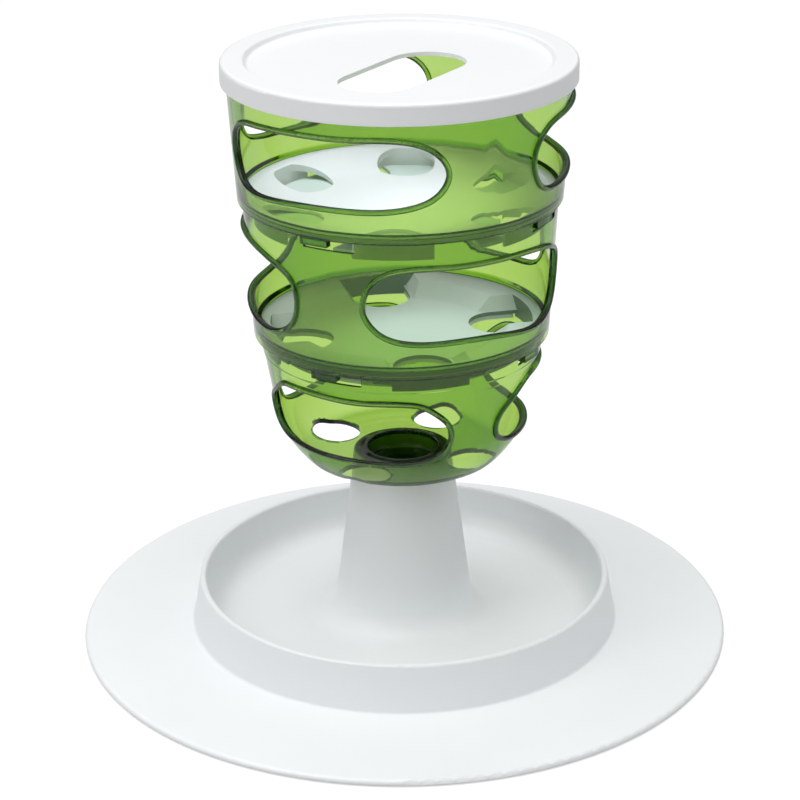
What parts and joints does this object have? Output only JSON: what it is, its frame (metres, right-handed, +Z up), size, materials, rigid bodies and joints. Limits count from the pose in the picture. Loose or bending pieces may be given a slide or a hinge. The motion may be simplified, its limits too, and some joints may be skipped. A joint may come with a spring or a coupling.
{
  "type": "cat food tree",
  "caption": "Free-standing food puzzle for cats: clear green windowed drums stacked over a wide white tray, with drop holes, shutters and a slotted lid.",
  "frame": {"origin": "on the floor in the middle of the tray", "axes": "+Z up the stem, front of the tree towards -Y"},
  "size_m": [0.35, 0.35, 0.3176],
  "materials": {
    "white_tray": "satin moulded",
    "white_disc": "satin moulded",
    "white_lid": "satin moulded",
    "clear_green": "clear polished",
    "pad_rubber": "matte"
  },
  "bodies": {
    "base": {"base_tray": "white_tray", "rubber_pads": "pad_rubber"},
    "lower": {"lower_section": "clear_green", "middle_level_disc": "white_disc"},
    "middle": {"middle_section": "clear_green", "upper_level_disc": "white_disc"},
    "upper": {"upper_section": "clear_green"},
    "lower_level_shutter": {"middle_shutter": "white_disc"},
    "upper_level_shutter": {"upper_shutter": "white_disc"},
    "lid": {"lid": "white_lid"}
  },
  "joints": [
    {"name": "tower_lift", "type": "slide", "parent": "base", "child": "lower", "axis": [0, 0, 1], "range_m": [0, 0.016]},
    {"name": "middle_twist", "type": "hinge", "parent": "lower", "child": "middle", "pos_m": [0, 0, 0.174], "axis": [0, 0, 1], "range_deg": [0, 9]},
    {"name": "upper_twist", "type": "hinge", "parent": "middle", "child": "upper", "pos_m": [0, 0, 0.2459], "axis": [0, 0, 1], "range_deg": [0, 9]},
    {"name": "middle_shutter_turn", "type": "hinge", "parent": "lower", "child": "lower_level_shutter", "pos_m": [0, 0, 0.1667], "axis": [0, 0, 1], "range_deg": [0, 45]},
    {"name": "upper_shutter_turn", "type": "hinge", "parent": "middle", "child": "upper_level_shutter", "pos_m": [0, 0, 0.2372], "axis": [0, 0, 1], "range_deg": [-23, 7]},
    {"name": "lid_lift", "type": "slide", "parent": "upper", "child": "lid", "axis": [0, 0, 1], "range_m": [0, 0.012]}
  ]
}
